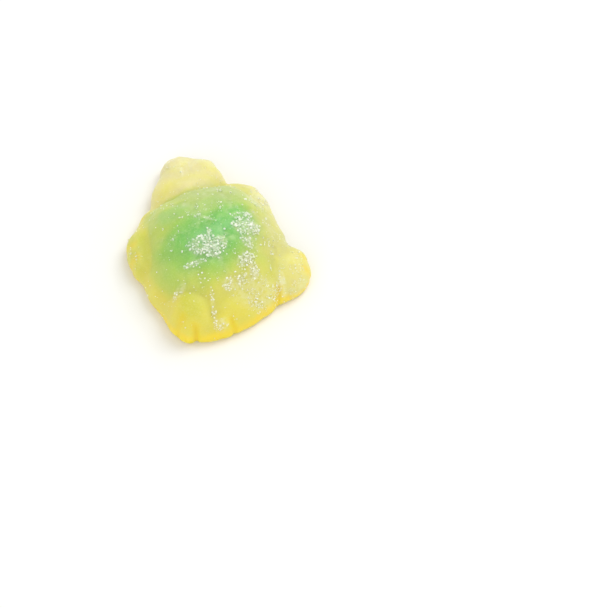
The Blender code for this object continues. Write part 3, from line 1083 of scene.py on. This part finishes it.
def random_turns(random, count):
    """Random rotation matrices."""
    numbers = random.normal(size=(4, count))
    w, x, y, z = numbers / np.linalg.norm(numbers, axis=0)
    rows = (
        (1 - 2 * (y * y + z * z), 2 * (x * y - z * w), 2 * (x * z + y * w)),
        (2 * (x * y + z * w), 1 - 2 * (x * x + z * z), 2 * (y * z - x * w)),
        (2 * (x * z - y * w), 2 * (y * z + x * w), 1 - 2 * (x * x + y * y)),
    )
    return np.array(rows).transpose(2, 0, 1)


def joined_blocks(name, random, shapes, middles, chamfer):
    """Blocks with the given shapes and middles as one mesh, each with its own tone."""
    points, faces = grain_shape(chamfer)
    count = len(middles)
    made = (np.einsum("kij,pj->kpi", shapes, points) + middles[:, None, :]).reshape(-1, 3)
    every = [[index + k * len(points) for index in face] for k in range(count) for face in faces]
    piece = new_piece(name, made.tolist(), every, False)
    carry_number(piece, "tone", np.repeat(random.random(count), len(points)))
    carry_number(piece, "shell", shell_share(*(made / MM + MIDDLE).T))
    return piece


def small_grains(random, jelly, kind, least, most):
    """Shapes and middles of one kind of small grain: uneven blocks, turned and squeezed at random."""
    densest = GATHERING * max(getattr(bed, kind) for bed in BEDS)
    places, outward = sugar_places(random, jelly, kind, densest)
    count = len(places)
    size = least + (most - least) * random.random(count) ** 2
    squeeze = SMALL_THINNEST + (1.0 - SMALL_THINNEST) * random.random((count, 3))
    squeeze[:, 0] = 1.0
    skew = np.eye(3) + SKEW * random.normal(size=(count, 3, 3))
    shapes = random_turns(random, count) @ (skew * squeeze[:, None, :]) * size[:, None, None]
    return shapes, places + outward * (size * SMALL_LIFT)[:, None]


def large_grains():
    """Shapes and middles of the largest grains, which stand where the solid has them."""
    random = np.random.default_rng(SEED)
    matrices = np.array([grain_matrix(place, random) for place in grain_places(random)])
    return matrices[:, :3, :3] * MM, (matrices[:, :3, 3] - MIDDLE) * MM


def film_and_light_share(x, y):
    """How thick the whitish film is, from 0 to 1: dissolved sugar, and painted light that lifts the shade
    the grains cast.
    """
    return np.maximum.reduce([bed.film * bed_share(x, y, bed) for bed in BEDS])


class TURTLE_OT_cast_jelly(bpy.types.Operator):
    """Cast the jelly body over the solid"""

    bl_idname = "turtle.cast_jelly"
    bl_label = "Cast jelly"

    def execute(self, context):
        jelly = context.scene.turtle_jelly
        rings, top = skin_rings(jelly.spokes, jelly.back_rings, jelly.rim_rings, jelly.base_rings)
        count = rings.shape[1]
        last = (len(rings) - 1) * count
        points = np.concatenate([rings.reshape(-1, 3), [top, (top[0], top[1], 0.0)]])
        above, below = len(points) - 2, len(points) - 1
        faces = []
        for i in range(count):
            j = (i + 1) % count
            faces.append((above, i, j))
            faces.append((below, last + j, last + i))
            for row in range(0, last, count):
                faces.append((row + i, row + count + i, row + count + j, row + j))
        piece = new_piece("jelly_turtle", ((points - MIDDLE) * MM).tolist(), faces, True)
        x, y = points[:, 0], points[:, 1]
        # Where the toe grooves lie, for their painted shade.
        grooves = np.clip(toe_relief(x, y) / max(foot.depth for foot in TOES), 0.0, 1.0)
        carry_number(piece, "groove", grooves ** GROOVE_SHADE_SPREAD)
        carry_number(piece, "shell", shell_share(x, y, points[:, 2]))
        # The seams' share of the sugar film, and the face crease's painted highlight.
        carry_number(piece, "seam", seam_share(x, y) + crease_relief(x, y) / FACE_CREASE_DEPTH)
        # Where swellings meet, for their painted shade.
        carry_number(piece, "join", join_share(x, y, points[:, 2]))
        # Film under the beds: sugar, and painted light over the grains' shade.
        carry_number(piece, "film", film_and_light_share(x, y))
        piece.data.materials.append(jelly_material())
        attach(piece, BODY)
        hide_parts(NODE)
        return {"FINISHED"}


class TURTLE_OT_stick_sugar(bpy.types.Operator):
    """Stick large, coarse and fine sugar on the jelly"""

    bl_idname = "turtle.stick_sugar"
    bl_label = "Stick sugar"

    def execute(self, context):
        settings = context.scene.turtle_sugar
        jelly = bpy.data.objects["jelly_turtle"]
        random = np.random.default_rng(settings.seed)
        coarse_sizes = (settings.coarse_least, settings.coarse_most)
        fine_sizes = (settings.fine_least, settings.fine_most)
        grains = {
            "large_sugar": large_grains(),
            "coarse_sugar": small_grains(random, jelly, "coarse", *coarse_sizes),
            "fine_sugar": small_grains(random, jelly, "fine", *fine_sizes),
        }
        for name, (shapes, middles) in grains.items():
            finish = GRAIN_FINISHES[name]
            chamfer = settings.chamfer if finish.edges_cut else 0.0
            piece = joined_blocks(name, random, shapes, middles, chamfer)
            piece.data.materials.append(sugar_material(name + "_grains", finish))
            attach(piece, BODY)
        return {"FINISHED"}


def aim(item, target, roll_up=Vector((0.0, 0.0, 1.0))):
    """Turns a camera or light to look at a point."""
    look = (target - item.location).normalized()
    side = look.cross(roll_up).normalized()
    up = side.cross(look)
    item.rotation_euler = Matrix((side, up, -look)).transposed().to_euler()


def add_lamp(name, power, lamp):
    """Adds a square area light that looks at the turtle."""
    data = bpy.data.lights.new(name, "AREA")
    data.energy = power
    data.size = lamp.size
    light = bpy.data.objects.new(name, data)
    light.location = lamp.place
    bpy.context.scene.collection.objects.link(light)
    aim(light, Vector(LAMP_TARGET))


class TURTLE_OT_set_stage(bpy.types.Operator):
    """Set up the pale floor, the soft light and the camera"""

    bl_idname = "turtle.set_stage"
    bl_label = "Set stage"

    def execute(self, context):
        scene = context.scene
        studio = scene.turtle_studio
        signs = ((-1, -1), (1, -1), (1, 1), (-1, 1))
        corners = [(u * FLOOR_HALF, v * FLOOR_HALF, 0.0) for u, v in signs]
        floor = new_piece("studio_floor", corners, [(0, 1, 2, 3)], False)
        floor.data.materials.append(floor_material())
        world = bpy.data.worlds.new("even_light")
        world.use_nodes = True
        sky = world.node_tree.nodes["Background"]
        sky.inputs["Color"].default_value = (1.0, 1.0, 1.0, 1.0)
        sky.inputs["Strength"].default_value = studio.sky
        scene.world = world
        add_lamp("key_light", studio.key_power, KEY_LAMP)
        add_lamp("fill_light", studio.fill_power, FILL_LAMP)
        a, e = studio.azimuth, studio.elevation
        back = Vector((np.sin(a) * np.cos(e), -np.cos(a) * np.cos(e), np.sin(e)))
        right = Vector((np.cos(a), np.sin(a), 0.0))
        up = back.cross(right)
        data = bpy.data.cameras.new("camera")
        data.sensor_width = SENSOR_WIDTH
        data.lens = data.sensor_width * studio.distance / studio.frame_width
        data.clip_start, data.clip_end = CLIP_RANGE
        camera = bpy.data.objects.new("camera", data)
        scene.collection.objects.link(camera)
        camera.location = back * studio.distance
        aim(camera, right * studio.right_of_middle - up * studio.below_middle, up)
        scene.camera = camera
        scene.view_settings.view_transform = "Standard"
        scene.view_settings.look = "None"
        return {"FINISHED"}


class TURTLE_PT_panel(bpy.types.Panel):
    """Lists the turtle's steps and settings"""

    bl_idname = "TURTLE_PT_panel"
    bl_label = "Sour gummy turtle"
    bl_space_type = "VIEW_3D"
    bl_region_type = "UI"
    bl_category = "Gummy turtle"

    def draw(self, context):
        for group, step in STEPS.items():
            box = self.layout.box()
            box.operator(step.bl_idname)
            settings = getattr(context.scene, group)
            for name in settings.__annotations__:
                box.prop(settings, name)


STEPS = {
    "turtle_jelly": TURTLE_OT_cast_jelly,
    "turtle_sugar": TURTLE_OT_stick_sugar,
    "turtle_studio": TURTLE_OT_set_stage,
}
GROUPS = {
    "turtle_jelly": JellySettings,
    "turtle_sugar": SugarSettings,
    "turtle_studio": StudioSettings,
}


def register():
    """Adds the turtle's settings, steps and panel to Blender."""
    for name, group in GROUPS.items():
        bpy.utils.register_class(group)
        setattr(bpy.types.Scene, name, PointerProperty(type=group))
    for part in (*STEPS.values(), TURTLE_PT_panel):
        bpy.utils.register_class(part)


def unregister():
    """Takes them out again."""
    for part in (TURTLE_PT_panel, *STEPS.values()):
        bpy.utils.unregister_class(part)
    for name, group in GROUPS.items():
        delattr(bpy.types.Scene, name)
        bpy.utils.unregister_class(group)


def main():
    """Makes the whole scene."""
    register()
    for item in list(bpy.data.objects):
        if item.name in ("Cube", "Light", "Camera"):
            bpy.data.objects.remove(item)
    bpy.ops.turtle.cast_jelly()
    bpy.ops.turtle.stick_sugar()
    bpy.ops.turtle.set_stage()


if __name__ == "__main__":
    main()
